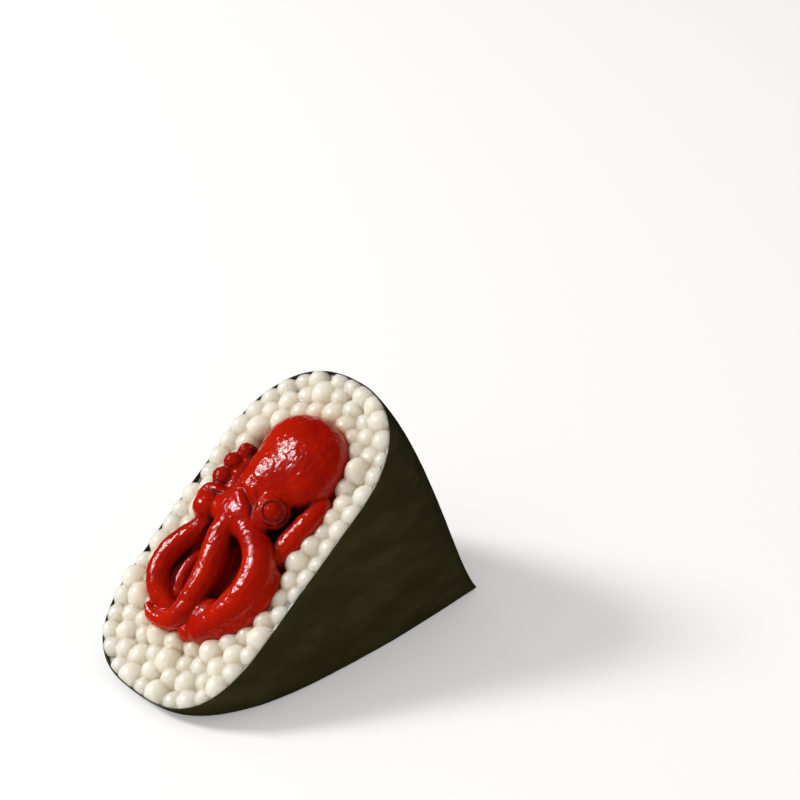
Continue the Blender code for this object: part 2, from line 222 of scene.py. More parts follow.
def face_outwards(piece: bpy.types.Object) -> None:
    """Turn a closed piece's faces outwards if they point in.

    The signed volume is a sixth of the sum of each triangle's corner dotted
    with the cross product of the other two.
    """
    mesh = piece.data
    mesh.calc_loop_triangles()
    index = np.empty(len(mesh.loop_triangles) * 3, dtype=np.int32)
    mesh.loop_triangles.foreach_get("vertices", index)
    a, b, c = (mesh_points(mesh)[index.reshape(-1, 3)[:, k]] for k in range(3))
    if (a * np.cross(b, c)).sum() < 0:
        mesh.flip_normals()
        mesh.update()


def wrap_in_net(piece: bpy.types.Object, size: float) -> None:
    """Replace a piece's mesh by one even net round all its parts.

    Args:
        piece: The piece, whose closed parts may overlap.
        size: The side of a net's square in millimetres.
    """
    skin = piece.modifiers.new("skin", "REMESH")
    skin.mode = "VOXEL"
    skin.voxel_size = size * MM
    bpy.context.view_layer.update()
    seen = piece.evaluated_get(bpy.context.evaluated_depsgraph_get())
    net = bpy.data.meshes.new_from_object(seen)
    old = piece.data
    piece.modifiers.clear()
    piece.data = net
    bpy.data.meshes.remove(old)


def edge_pairs(mesh: bpy.types.Mesh) -> np.ndarray:
    """Return the two point numbers of every edge."""
    pairs = np.empty(len(mesh.edges) * 2, dtype=np.int32)
    mesh.edges.foreach_get("vertices", pairs)
    return pairs.reshape(-1, 2)


def relaxed(p: np.ndarray, pairs: np.ndarray, share: float) -> np.ndarray:
    """Move each point a share of the way to the mean of its neighbours."""
    count = np.bincount(pairs.ravel(), minlength=len(p))
    total = np.stack([
        np.bincount(pairs[:, 0], p[pairs[:, 1], k], len(p))
        + np.bincount(pairs[:, 1], p[pairs[:, 0], k], len(p))
        for k in range(3)
    ], axis=1)
    return p + share * (total / np.maximum(count, 1)[:, None] - p)


def repeated(faces: list, size: int, count: int) -> list:
    """Return the faces of count like shapes that have size points each."""
    return [[v + i * size for v in face] for i in range(count) for face in faces]


def zipped_piece(name: str, rings: np.ndarray, turn: int) -> bpy.types.Object:
    """Build a closed piece from rings, with both end rings drawn shut.

    Args:
        name: The piece's name.
        rings: Rings of points in the part's millimetres.
        turn: The point of a ring at which both zips start.

    Returns:
        The piece, with its faces outwards.
    """
    rings = np.roll(rings, -turn, axis=1)
    count = rings.shape[1]
    faces = np.vstack([
        ring_faces(len(rings), count),
        zip_faces((len(rings) - 1) * count, count),
        zip_faces(0, count)[:, ::-1],
    ])
    piece = make_piece(name, rings.reshape(-1, 3) * MM, faces.tolist())
    face_outwards(piece)
    return piece


# ---- The wedge that all pieces fit ----


@dataclass
class Wedge:
    """Shape of the wrapped half: a round-ended cut face and a pressed edge.

    Lengths are in millimetres.  The base's length and the height are read from
    the frame, and the rest gives the shape between them.
    """

    rest_length: float
    height: float
    ramp: float = math.radians(38.2)
    lip: float = 1.9
    low_half_width: float = 18.8
    high_half_width: float = 19.2
    low_cap: float = 21.5
    high_cap: float = 22.0
    low_power: float = 2.7
    high_power: float = 2.3
    tip_half_width: float = 18.0
    tip_height: float = 0.8
    tip_round: float = 0.35
    tip_setback: float = 2.3
    low_pull: float = 19.6
    top_pull: float = 15.2
    rest_pull: float = 19.8
    rest_power: int = 3
    edge_power: float = 1.6
    flank_power: int = 12
    belly: float = 1.2
    belly_power: int = 3

    @property
    def cut_length(self) -> float:
        """Length of the cut face up the ramp."""
        return (self.height - self.lip) / math.sin(self.ramp)

    @property
    def axes(self) -> np.ndarray:
        """The u, v and h directions, one a row."""
        sine, cosine = math.sin(self.ramp), math.cos(self.ramp)
        return np.array([[cosine, 0, sine], [0, 1, 0], [-sine, 0, cosine]])

    @property
    def origin(self) -> np.ndarray:
        """The low end of the cut face, in the part's millimetres."""
        return np.array([-self.rest_length / 2, 0.0, self.lip])

    def place(self, uvh: np.ndarray) -> np.ndarray:
        """Turn points on the cut face, in millimetres, into the part's metres."""
        return (uvh @ self.axes + self.origin) * MM

    def unplace(self, points: np.ndarray) -> np.ndarray:
        """Turn the part's metres into u, v and h in millimetres."""
        return (points / MM - self.origin) @ self.axes.T

    def rim(self, inset: float, cap: int, side: int) -> np.ndarray:
        """Return the cut's outline moved in by inset.

        The two ends are superellipses, where a point at angle t lies at
        cos(t)^(2/power) along and sin(t)^(2/power) across, and straight
        lines join them.

        Args:
            inset: How far inside the outer skin, in millimetres.
            cap: Steps round each end.
            side: Steps along each side.

        Returns:
            Rows of (u, v): high end, +v side, low end, -v side.
        """
        turn = np.linspace(-math.pi / 2, math.pi / 2, cap + 1)
        ends = []
        for power, length, half in (
            (self.high_power, self.high_cap - inset, self.high_half_width - inset),
            (self.low_power, self.low_cap - inset, self.low_half_width - inset),
        ):
            reach = length * np.clip(np.cos(turn), 0.0, 1.0) ** (2 / power)
            across = half * np.sign(turn) * np.abs(np.sin(turn)) ** (2 / power)
            ends.append((reach, across))
        high = np.stack([self.cut_length - self.high_cap + ends[0][0], ends[0][1]], axis=1)
        low = np.stack([self.low_cap - ends[1][0], ends[1][1]], axis=1)[::-1]
        share = np.linspace(0.0, 1.0, side + 1)[1:-1, None]
        down = high[-1] * (1 - share) + low[0] * share
        up = low[-1] * (1 - share) + high[0] * share
        return np.concatenate([high, down, low, up])

    def skin(self, rim: np.ndarray, inset: float, depth: float, steps: np.ndarray) -> np.ndarray:
        """Return rings of points on the wrap's surface moved in by inset.

        Each rim point runs to the pressed edge along a cubic curve that leaves
        the cut squarely; halfway the flat sides swell by the belly, and nothing
        goes below the base.

        Args:
            rim: Outline of the cut as (u, v).
            inset: How far inside the outer skin.
            depth: Depth below the cut at which the first ring lies.
            steps: Each ring's share of the way, from 0 to 1.

        Returns:
            An array of rings in the part's millimetres.
        """
        u, v = rim[:, 0], rim[:, 1]
        first = np.column_stack([u, v, np.zeros_like(u)]) @ self.axes + self.origin
        low = 0.5 + 0.5 * np.cos(math.pi * np.clip(u / self.cut_length, 0.0, 1.0))
        pull = self.low_pull * low + self.top_pull * (1 - low)
        second = first - pull[:, None] * self.axes[2]
        half = self.high_half_width - inset
        flank = np.clip(np.abs(v) / (self.low_half_width - inset), 0.0, 1.0) ** self.flank_power
        across = 1.0 - np.clip(np.abs(v) / half, 0.0, 1.0)
        edge_y = np.sign(v) * (1.0 - across**self.edge_power) * (self.tip_half_width - inset)
        edge_y += np.sign(v) * flank * self.tip_round * 4 * low * (1 - low)
        edge_x = np.full_like(u, self.rest_length / 2 - self.tip_setback * inset)
        last = np.stack([edge_x, edge_y, inset + self.tip_height * (1 - low)], axis=1)
        rest = low[:, None] ** self.rest_power
        third = last + rest * [-self.rest_pull, 0, 0] + 0.5 * (1 - rest) * (second - last)
        swell = np.sign(v) * np.clip(np.abs(v) / half, 0.0, 1.0) ** self.belly_power * self.belly
        start = depth / (3 * pull)
        s = (start + (1 - start) * steps[:, None])[..., None]
        rings = (1 - s) ** 3 * first + 3 * s * (1 - s) ** 2 * second
        rings = rings + 3 * s**2 * (1 - s) * third + s**3 * last
        rings[..., 1] += (4 * s * (1 - s))[..., 0] * swell
        rings[..., 2] = np.maximum(rings[..., 2], inset)
        return rings


# ---- Finishes ----


def new_group(name: str, inputs: tuple, outputs: tuple) -> bpy.types.NodeTree:
    """Make a node group that holds only its two ends.

    Args:
        name: The group's name.
        inputs: Each input's label and kind.
        outputs: Each output's label and kind.

    Returns:
        The group, whose first two nodes are its ends.
    """
    group = bpy.data.node_groups.new(name, "ShaderNodeTree")
    for way, sockets in (("INPUT", inputs), ("OUTPUT", outputs)):
        for label, kind in sockets:
            group.interface.new_socket(label, in_out=way, socket_type="NodeSocket" + kind)
    group.nodes.new("NodeGroupInput")
    group.nodes.new("NodeGroupOutput")
    return group


def wire(tree: bpy.types.NodeTree, *runs: tuple) -> None:
    """Link nodes, each run being a node, its output, a node and its input."""
    for source, out, sink, into in runs:
        tree.links.new(source.outputs[out], sink.inputs[into])


def set_inputs(node: bpy.types.Node, values: dict) -> None:
    """Set constants on a node's input sockets, by label or number."""
    for label, value in values.items():
        node.inputs[label].default_value = value


def relief_group() -> bpy.types.NodeTree:
    """Build the fine relief that all three skins share, as a node group.

    A stretched noise makes fibres or wrinkles, a cell pattern makes pores, and
    the noise plus the pores' share of the cells comes out as a height.

    Returns:
        The group, made once.
    """
    name = "fine_relief"
    if name in bpy.data.node_groups:
        return bpy.data.node_groups[name]
    numbers = tuple((label, "Float") for label in ("Scale", "Detail", "Warp", "Pores"))
    group = new_group(name, (("Vector", "Vector"), *numbers), (("Height", "Float"),))
    source, sink = group.nodes
    noise = group.nodes.new("ShaderNodeTexNoise")
    set_inputs(noise, {"Roughness": 0.6})
    cells = group.nodes.new("ShaderNodeTexVoronoi")
    cells.feature = "SMOOTH_F1"
    total = group.nodes.new("ShaderNodeMath")
    total.operation = "MULTIPLY_ADD"
    wire(
        group,
        (source, "Vector", noise, "Vector"),
        (source, "Vector", cells, "Vector"),
        (source, "Scale", noise, "Scale"),
        (source, "Scale", cells, "Scale"),
        (source, "Detail", noise, "Detail"),
        (source, "Warp", noise, "Distortion"),
        (cells, "Distance", total, 0),
        (source, "Pores", total, 1),
        (noise, "Fac", total, 2),
        (total, "Value", sink, "Height"),
    )
    return group


def mottle_group() -> bpy.types.NodeTree:
    """Build the patchy colour that all three skins share, as a node group.

    A soft noise picks between two colours, and the same noise comes out as a
    value for the roughness.

    Returns:
        The group, made once.
    """
    name = "mottle"
    if name in bpy.data.node_groups:
        return bpy.data.node_groups[name]
    inputs = (("Vector", "Vector"), ("Base", "Color"), ("Patch", "Color"), ("Scale", "Float"))
    group = new_group(name, inputs, (("Color", "Color"), ("Value", "Float")))
    source, sink = group.nodes
    noise = group.nodes.new("ShaderNodeTexNoise")
    set_inputs(noise, {"Detail": 5.0, "Roughness": 0.65})
    spread = group.nodes.new("ShaderNodeMapRange")
    spread.interpolation_type = "SMOOTHSTEP"
    set_inputs(spread, {"From Min": 0.35, "From Max": 0.7})
    mix = group.nodes.new("ShaderNodeMix")
    mix.data_type = "RGBA"
    wire(
        group,
        (source, "Vector", noise, "Vector"),
        (source, "Scale", noise, "Scale"),
        (noise, "Fac", spread, "Value"),
        (spread, "Result", mix, "Factor"),
        (source, "Base", mix, "A"),
        (source, "Patch", mix, "B"),
        (mix, "Result", sink, "Color"),
        (spread, "Result", sink, "Value"),
    )
    return group


@dataclass(frozen=True)
class Tint:
    """A colour that multiplies a finish, and may dull it, where an attribute is high."""

    attribute: str
    colour: tuple
    share: float = 1.0
    dulling: float = 0.0

    def mixed_in(
        self, tree: bpy.types.NodeTree, colour: bpy.types.NodeSocket, rough: bpy.types.NodeSocket
    ) -> tuple[bpy.types.NodeSocket, bpy.types.NodeSocket]:
        """Tint a colour and dull a skin as far as the attribute says.

        Args:
            tree: The nodes of the material being built.
            colour: The colour so far.
            rough: The roughness so far.

        Returns:
            The colour times the tint by the attribute's share, and the
            roughness plus the attribute times the dulling.
        """
        layer = tree.nodes.new("ShaderNodeAttribute")
        layer.attribute_name = self.attribute
        share = tree.nodes.new("ShaderNodeMath")
        share.operation = "MULTIPLY"
        set_inputs(share, {1: self.share})
        mix = tree.nodes.new("ShaderNodeMix")
        mix.data_type = "RGBA"
        mix.blend_type = "MULTIPLY"
        set_inputs(mix, {"B": (*self.colour, 1.0)})
        dull = tree.nodes.new("ShaderNodeMath")
        dull.operation = "MULTIPLY_ADD"
        set_inputs(dull, {1: self.dulling})
        wire(
            tree,
            (layer, "Fac", share, 0),
            (layer, "Fac", dull, 0),
            (share, "Value", mix, "Factor"),
        )
        tree.links.new(colour, mix.inputs["A"])
        tree.links.new(rough, dull.inputs[2])
        return mix.outputs["Result"], dull.outputs["Value"]


@dataclass(frozen=True)
class Finish:
    """What the three finishes have in common.

    Colours are linear, sizes of patterns are in cells a metre, and heights of
    bumps are in metres.
    """

    name: str
    base: tuple
    patch: tuple
    roughness: float
    rough_swing: float
    mottle_scale: float
    relief_scale: float
    relief_height: float
    specular: float
    detail: float = 4.0
    warp: float = 0.3
    pores: float = 0.4
    stretch: tuple = (1.0, 1.0, 1.0)
    turn: tuple = (0.0, 0.0, 0.0)
    scatter: float = 0.0
    scatter_radius: tuple = (1.0, 0.5, 0.3)
    scatter_scale: float = 0.001
    tints: tuple = ()

    def make(self) -> bpy.types.Material:
        """Build the finish as a material.

        Returns:
            A Principled material whose colour, roughness and relief come from
            the shared groups; each tint is mixed in by its attribute.
        """
        made = bpy.data.materials.new(self.name)
        made.use_nodes = True
        tree = made.node_tree
        shader = tree.nodes["Principled BSDF"]
        place = tree.nodes.new("ShaderNodeTexCoord")
        mapping = tree.nodes.new("ShaderNodeMapping")
        mottle = tree.nodes.new("ShaderNodeGroup")
        mottle.node_tree = mottle_group()
        rough = tree.nodes.new("ShaderNodeMapRange")
        relief = tree.nodes.new("ShaderNodeGroup")
        relief.node_tree = relief_group()
        bump = tree.nodes.new("ShaderNodeBump")
        low, high = self.roughness - self.rough_swing, self.roughness + self.rough_swing
        base, patch = (*self.base, 1.0), (*self.patch, 1.0)
        set_inputs(mapping, {"Rotation": self.turn, "Scale": self.stretch})
        set_inputs(mottle, {"Base": base, "Patch": patch, "Scale": self.mottle_scale})
        set_inputs(rough, {"To Min": low, "To Max": high})
        set_inputs(relief, {"Scale": self.relief_scale, "Detail": self.detail})
        set_inputs(relief, {"Warp": self.warp, "Pores": self.pores})
        set_inputs(bump, {"Strength": 1.0, "Distance": self.relief_height})
        set_inputs(shader, {
            "Metallic": 0.0,
            "Specular IOR Level": self.specular,
            "Subsurface Weight": self.scatter,
            "Subsurface Radius": self.scatter_radius,
            "Subsurface Scale": self.scatter_scale,
        })
        wire(
            tree,
            (place, "Object", mapping, "Vector"),
            (mapping, "Vector", mottle, "Vector"),
            (mapping, "Vector", relief, "Vector"),
            (mottle, "Value", rough, "Value"),
            (relief, "Height", bump, "Height"),
            (bump, "Normal", shader, "Normal"),
        )
        colour, dull = mottle.outputs["Color"], rough.outputs["Result"]
        for tint in self.tints:
            colour, dull = tint.mixed_in(tree, colour, dull)
        tree.links.new(colour, shader.inputs["Base Color"])
        tree.links.new(dull, shader.inputs["Roughness"])
        return made


NORI = Finish(
    name="nori", base=(0.0340, 0.0280, 0.0064), patch=(0.0480, 0.0405, 0.0105),
    roughness=0.58, rough_swing=0.08, mottle_scale=240.0, relief_scale=900.0,
    relief_height=0.00010, stretch=(0.35, 1.0, 1.0), turn=(0.0, math.radians(-38.0), 0.0),
    specular=0.09, warp=0.6, pores=0.3,
)
RICE = Finish(
    name="rice", base=(0.80, 0.74, 0.62), patch=(0.77, 0.71, 0.585),
    roughness=0.32, rough_swing=0.06, mottle_scale=260.0, relief_scale=1400.0,
    relief_height=0.00004, specular=0.42, scatter=1.0, scatter_radius=(1.0, 0.96, 0.90),
    scatter_scale=0.0060,
    # The seam tint is painted shade: it greys the rice in the creases between pearls.
    tints=(Tint("stain", (1.0, 0.52, 0.28)), Tint("seam", (0.66, 0.62, 0.55), 0.45)),
)
OCTOPUS = Finish(
    name="octopus", base=(0.45, 0.0105, 0.0010), patch=(0.31, 0.0035, 0.0010),
    roughness=0.15, rough_swing=0.04, mottle_scale=130.0, relief_scale=1150.0,
    relief_height=0.00012, detail=2.2, specular=0.32, scatter=0.06,
    scatter_radius=(1.0, 0.12, 0.05), scatter_scale=0.0012, warp=0.5, pores=0.1,
    # The hollow tint is painted shade: it darkens the skin deep in folds and gaps between arms,
    # and dulls it there.
    tints=(Tint("hollow", (0.22, 0.10, 0.10), 1.0, 0.75),),
)


# ---- The nori ----


@dataclass
class NoriWrap:
    """The sheet of nori round the rice, open at the cut."""

    wedge: Wedge
    thickness: float = NORI_THICKNESS
    cap_steps: int = 120
    side_steps: int = 44
    outer_rings: int = 100
    inner_rings: int = 22
    outer_crowding: float = 1.15
    inner_crowding: float = 1.6
    edge_bulge: float = 0.12
    wave: float = 0.16
    wave_cell: float = 11.0
    ripple: float = 0.05
    ripple_cell: float = 2.2
    edge_wave: float = 0.14
    edge_cell: float = 5.0
    deepest: float = 0.3
    calm_end: float = 0.93

    def build(self) -> bpy.types.Object:
        """Build the sheet: outer skin, rounded cut edge, inner skin.

        The outer skin is the wedge's, moved in by a slow noise for its waves
        and a quicker one for its ripples.  The cut edge dips here and there.

        Returns:
            The finished piece.
        """
        outer, inner = (
            self.wedge.skin(
                self.wedge.rim(inset, self.cap_steps, self.side_steps),
                inset, 0.0, np.linspace(0.0, 1.0, rings) ** crowding,
            )
            for inset, rings, crowding in (
                (0.0, self.outer_rings, self.outer_crowding),
                (self.thickness, self.inner_rings, self.inner_crowding),
            )
        )
        outer = self.waved(outer)
        bulge = self.edge_bulge * self.thickness * self.wedge.axes[2]
        edge = 0.5 * (outer[0] + inner[0]) + bulge
        lift = self.edge_lift(outer[0])
        outer[0] -= lift
        edge -= lift
        inner[0] -= lift
        rings = np.concatenate([inner[::-1], edge[None], outer])
        piece = zipped_piece("nori_sheet", rings, self.cap_steps + self.side_steps // 2)
        piece.data.materials.append(NORI.make())
        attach(piece, Ride.WHOLE.value)
        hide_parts("nori_wrap")
        return piece

    def waved(self, outer: np.ndarray) -> np.ndarray:
        """Move the outer rings inwards by slow and quick noise, less at their end."""
        flat = outer.reshape(-1, 3)
        wave = 0.5 + 0.5 * fractal_noise(flat * [0.6, 1, 1], self.wave_cell, octaves=2, seed=3)
        ripple = 0.5 + 0.5 * fractal_noise(flat, self.ripple_cell, octaves=3, seed=11)
        push = np.clip(self.wave * wave + self.ripple * ripple, 0.0, self.deepest)
        push = push.reshape(outer.shape[:2] + (1,))
        fade = smooth_step(1.0, self.calm_end, np.linspace(0, 1, len(outer)))
        moved = outer - push * ring_normals(outer) * fade[:, None, None]
        moved[..., 2] = np.maximum(moved[..., 2], 0.0)
        return moved

    def edge_lift(self, edge: np.ndarray) -> np.ndarray:
        """Return how far each point of the cut edge drops, as vectors."""
        drop = 0.5 + 0.5 * fractal_noise(edge, self.edge_cell, octaves=3, seed=21)
        return np.clip(self.edge_wave * drop, 0.0, None)[:, None] * self.wedge.axes[2]


# ---- The octopus ----


@dataclass(frozen=True)
class Lobe:
    """A soft ellipsoid of flesh: its middle, half sizes, turn and blend."""

    centre: tuple
    size: tuple
    turn: float = 0.0
    blend: float = 1.6
    rib: float = 0.0
    rib_step: float = 0.8
    rib_slant: float = 0.35

    def distance(self, p: np.ndarray) -> np.ndarray:
        """Return the rough distance to the ellipsoid's surface.

        With k0 the length of p over the half sizes and k1 the length of p over
        their squares, the distance is k0 (k0 - 1) / k1.  Ribs add a cosine that
        runs along the lobe at a slant.

        Args:
            p: Points on the cut face.

        Returns:
            Distances, negative inside.
        """
        q = p - self.centre
        c, s = math.cos(math.radians(self.turn)), math.sin(math.radians(self.turn))
        q = np.stack([c * q[:, 0] + s * q[:, 1], c * q[:, 1] - s * q[:, 0], q[:, 2]], axis=1)
        size = np.array(self.size)
        k0 = np.linalg.norm(q / size, axis=1)
        k1 = np.linalg.norm(q / size**2, axis=1)
        run = (q[:, 0] + self.rib_slant * q[:, 1]) / self.rib_step
        return k0 * (k0 - 1.0) / np.maximum(k1, TINY) + self.rib * np.cos(2 * np.pi * run)


@dataclass(frozen=True)
class Arm:
    """A tapering arm along a smooth curve of (u, v, h, radius) points."""

    points: tuple
    blend: float = 0.7
    steps: int = 3
    reach: float = 4.0
    far: float = 9.0

    def line(self, steps: int) -> np.ndarray:
        """Return the arm's curve with a number of steps between its points."""
        return catmull_line(np.array(self.points, dtype=float), steps)

    def distance(self, p: np.ndarray) -> np.ndarray:
        """Return the distance to a chain of cones, or a far value out of its reach."""
        line = self.line(self.steps)
        reach = line[:, 3].max() + self.reach
        low, high = line[:, :3].min(axis=0) - reach, line[:, :3].max(axis=0) + reach
        near = ((p > low) & (p < high)).all(axis=1)
        away = np.full(len(p), self.far)
        away[near] = line_distance(p[near], line)
        return away


def line_distance(p: np.ndarray, line: np.ndarray) -> np.ndarray:
    """Return the distance from points to a line of (u, v, h, radius) points."""
    best = np.full(len(p), 1e9)
    for a, b in zip(line, line[1:]):
        run = b[:3] - a[:3]
        t = np.clip((p - a[:3]) @ run / max(run @ run, TINY), 0.0, 1.0)
        gap = p - (a[:3] + t[:, None] * run)
        best = np.minimum(best, np.linalg.norm(gap, axis=1) - (a[3] + t * (b[3] - a[3])))
    return best


@dataclass(frozen=True)
class Crease:
    """A groove (depth above 0) or a ridge (below 0) along a curve."""

    points: tuple
    depth: float
    width: float
    steps: int = 4
    flatness: float = 0.33

    def offset(self, p: np.ndarray) -> np.ndarray:
        """Return the depth times exp(-(distance / width)^2).

        Heights count a third, so that the crease reaches the skin wherever its
        curve passes a little over or under it.
        """
        flat = [1.0, 1.0, self.flatness]
        knots = np.array(self.points, dtype=float) * flat
        line = catmull_line(np.column_stack([knots, np.zeros(len(knots))]), self.steps)
        away = line_distance(p * flat, line)
        return self.depth * np.exp(-((away / self.width) ** 2))


@dataclass(frozen=True)
class Eye:
    """A round eye: a ball with a knob, a ring round it and a lid round both."""

    centre: tuple
    radius: float
    axis: tuple
    knob: float
    ring: float
    lid: float
    lid_thickness: float
    knob_rise: float = 0.42
    ring_rise: float = 0.34
    ring_width: float = 0.30
    groove: float = 0.30
    groove_width: float = 0.26
    lid_blend: float = 0.6
    blend: float = 1.1

    def distance(self, p: np.ndarray) -> np.ndarray:
        """Return the distance to the eye.

        With r the distance from the eye's axis, the ball is raised by
        exp(-(r / knob)^4) for the knob and exp(-((r - ring) / width)^2) for the
        ring, and lowered between them.  The lid is a hoop round the ball.

        Args:
            p: Points on the cut face.

        Returns:
            Distances, negative inside.
        """
        q = p - self.centre
        axis = np.array(self.axis) / np.linalg.norm(self.axis)
        along = q @ axis
        off = np.linalg.norm(q - along[:, None] * axis, axis=1)
        front = smooth_step(0.0, 0.5 * self.radius, along)
        between = 0.5 * (self.knob + self.ring)
        rise = self.knob_rise * np.exp(-((off / self.knob) ** 4))
        rise += self.ring_rise * np.exp(-(((off - self.ring) / self.ring_width) ** 2))
        rise -= self.groove * np.exp(-(((off - between) / self.groove_width) ** 2))
        ball = np.linalg.norm(q, axis=1) - self.radius - front * rise
        reach = math.sqrt(max(self.radius**2 - self.lid**2, 0.0))
        hoop = np.hypot(off - self.lid, along - reach) - self.lid_thickness
        return soft_union(ball, hoop, self.lid_blend)


def soft_union(a: np.ndarray, b: np.ndarray, blend: float) -> np.ndarray:
    """Return the smaller of two distances with a fillet of the given size."""
    near = np.clip(blend - np.abs(a - b), 0.0, None) / blend
    return np.minimum(a, b) - near * near * blend * 0.25


@dataclass
class Octopus:
    """The filling: one small octopus lying in its hollow in the rice."""

    wedge: Wedge
    voxel: float = 0.27
    probe: float = 0.04
    pit_blend: float = 0.8
    slides: int = 6
    longest_slide: float = 0.5
    least_slope: float = 0.05
    easings: int = 4
    easing: float = 0.5
    open_lifts: tuple = (2.0, 3.6)
    fold_shade_from: float = 0.45
    coarse_wrinkle: float = 0.055
    fine_wrinkle: float = 0.042
    swell: float = 0.07
    base: Lobe = Lobe((37.2, -0.2, -1.4), (24.3, 13.3, 5.2))
    web_level: float = -1.7
    lobes: tuple = (
        Lobe((53.2, -1.6, 0.9), (8.0, 9.6, 6.3)),
        Lobe((49.6, -4.0, 0.8), (6.6, 7.2, 5.6)),
        Lobe((47.2, 0.2, 1.4), (7.4, 6.6, 5.8)),
        Lobe((42.4, 1.9, 2.0), (5.2, 4.4, 4.3)),
        Lobe((37.6, 1.6, 2.0), (4.3, 7.2, 4.2)),
        Lobe((19.4, -4.4, 0.9), (2.9, 2.3, 2.2)),
        Lobe((16.9, -4.0, 0.8), (2.7, 2.1, 1.9)),
        Lobe((14.6, -2.6, 0.5), (1.9, 2.1, 1.5), blend=0.7),
        Lobe((35.7, 9.2, 3.1), (2.85, 2.9, 2.7), blend=0.8),
        Lobe((37.6, 9.0, 1.7), (2.3, 2.6, 2.4)),
        Lobe((41.9, 10.8, 1.9), (2.2, 2.3, 2.5), blend=0.35, rib=0.08),
        Lobe((45.4, 10.9, 1.9), (2.0, 2.1, 2.4), blend=0.35, rib=0.08),
        Lobe((48.4, 10.1, 1.7), (1.7, 1.8, 2.1), blend=0.35, rib=0.07),
    )
    eyes: tuple = (
        Eye((41.1, -5.0, 3.2), 3.05, axis=(-0.05, -0.58, 0.80), knob=1.2, ring=2.2,
            lid=2.95, lid_thickness=0.42),
    )
    arms: tuple = (
        Arm(((34.5, 8.3, 1.6, 1.9), (31.7, 8.7, 1.9, 2.0), (28.9, 9.9, 2.0, 2.2),
             (25.6, 11.0, 2.0, 2.35), (22.2, 11.2, 1.9, 2.4), (19.7, 10.1, 1.7, 2.4),
             (17.8, 8.3, 1.2, 2.3), (16.6, 6.0, 0.6, 2.0), (16.3, 3.7, 0.0, 1.6))),
        Arm(((35.7, 2.3, 3.2, 2.5), (32.6, 2.0, 3.2, 2.7), (29.5, 1.0, 3.0, 2.8),
             (26.6, 0.2, 2.8, 2.7), (23.5, -0.3, 2.5, 2.6), (20.4, -0.4, 2.2, 2.5),
             (17.0, -0.1, 1.9, 2.3), (14.6, 1.4, 1.6, 2.0), (13.6, 4.0, 1.4, 1.6),
             (13.5, 6.2, 1.5, 1.3), (14.3, 7.6, 1.9, 0.9))),
        Arm(((36.0, -1.8, 3.1, 2.3), (34.8, -5.1, 2.9, 2.7), (32.7, -8.1, 2.6, 3.1),
             (30.0, -9.6, 2.2, 3.3), (26.8, -9.9, 1.9, 3.3), (23.4, -9.2, 1.7, 3.1),
             (20.1, -7.7, 1.5, 2.7), (17.4, -6.3, 1.2, 2.3), (15.4, -5.2, 0.9, 1.7))),
        Arm(((30.9, -11.7, 0.2, 1.8), (27.8, -12.3, 0.0, 1.9), (24.4, -11.9, -0.2, 2.0),
             (21.0, -10.4, -0.3, 2.1), (18.2, -8.4, -0.3, 2.1), (16.0, -6.2, -0.4, 2.0)),
            blend=0.9),
        Arm(((47.6, -11.4, 0.1, 1.2), (45.8, -11.6, 0.5, 1.7), (43.2, -11.2, 0.6, 2.1),
             (40.4, -10.6, 0.4, 2.3), (37.4, -10.0, 0.0, 2.4), (34.6, -9.2, -0.6, 2.1))),
        Arm(((27.4, 6.9, -0.4, 1.2), (24.6, 7.2, -0.2, 1.4), (21.8, 6.8, -0.3, 1.5),
             (19.6, 5.6, -0.6, 1.3))),
        Arm(((48.6, 8.6, 0.9, 1.2), (45.6, 8.7, 0.9, 1.7), (42.4, 8.3, 1.0, 1.9),
             (40.0, 7.0, 1.3, 1.8))),
        Arm(((30.4, 8.6, -1.0, 1.8), (27.0, 10.4, -1.0, 2.0), (23.2, 10.8, -1.0, 2.1),
             (19.6, 9.0, -1.0, 2.1), (17.8, 6.0, -1.2, 2.0))),
        Arm(((34.4, 2.2, 0.0, 2.2), (30.5, 1.4, -0.1, 2.2), (26.6, 0.3, -0.3, 2.1),
             (22.0, -0.3, -0.4, 2.0), (17.5, 0.2, -0.6, 1.9))),
        Arm(((35.8, 12.3, 1.9, 1.1), (37.2, 12.2, 2.3, 1.4), (38.5, 11.2, 2.6, 1.55),
             (39.0, 9.6, 2.8, 1.5), (38.9, 7.8, 2.6, 1.3)), blend=0.45),
    )
    pits: tuple = (
        Lobe((27.4, -4.6, -0.9), (6.2, 2.3, 3.4), turn=6.0),
        Lobe((24.6, 4.0, -0.9), (4.6, 1.2, 2.2), turn=-8.0),
        Lobe((41.0, -9.2, -1.2), (5.2, 1.9, 2.6), turn=4.0),
    )
    creases: tuple = (
        Crease(((38.4, 9.2, 3.4), (39.2, 6.4, 4.2), (40.2, 4.4, 4.8), (41.4, 2.8, 5.4)),
               depth=0.55, width=0.42),
        Crease(((41.8, 2.2, 6.0), (41.0, 0.4, 5.9), (39.9, -1.5, 5.6), (38.2, -2.7, 5.0)),
               depth=0.55, width=0.38),
        Crease(((40.6, 3.4, 5.8), (39.9, 1.4, 5.9), (38.8, -0.4, 5.6)),
               depth=-0.35, width=0.80),
        Crease(((42.6, -0.2, 5.8), (41.4, -1.2, 5.9), (40.0, -2.6, 5.6)),
               depth=-0.40, width=0.55),
        Crease(((36.8, 11.4, 3.4), (38.0, 10.4, 3.6), (38.2, 8.6, 3.6), (37.2, 6.8, 3.4)),
               depth=0.45, width=0.35),
    )

    def distance(self, p: np.ndarray) -> np.ndarray:
        """Return the distance to the whole octopus.

        The base is cut off at the web's level and hollowed by the pits, each
        lobe, arm and eye is then joined to it with its own fillet, and the
        creases are added.

        Args:
            p: Points on the cut face.

        Returns:
            Distances, negative inside.
        """
        total = np.maximum(self.base.distance(p), p[:, 2] - self.web_level)
        for pit in self.pits:
            total = -soft_union(-total, pit.distance(p), self.pit_blend)
        for part in (*self.lobes, *self.arms, *self.eyes):
            total = soft_union(total, part.distance(p), part.blend)
        for crease in self.creases:
            total = total + crease.offset(p)
        return total

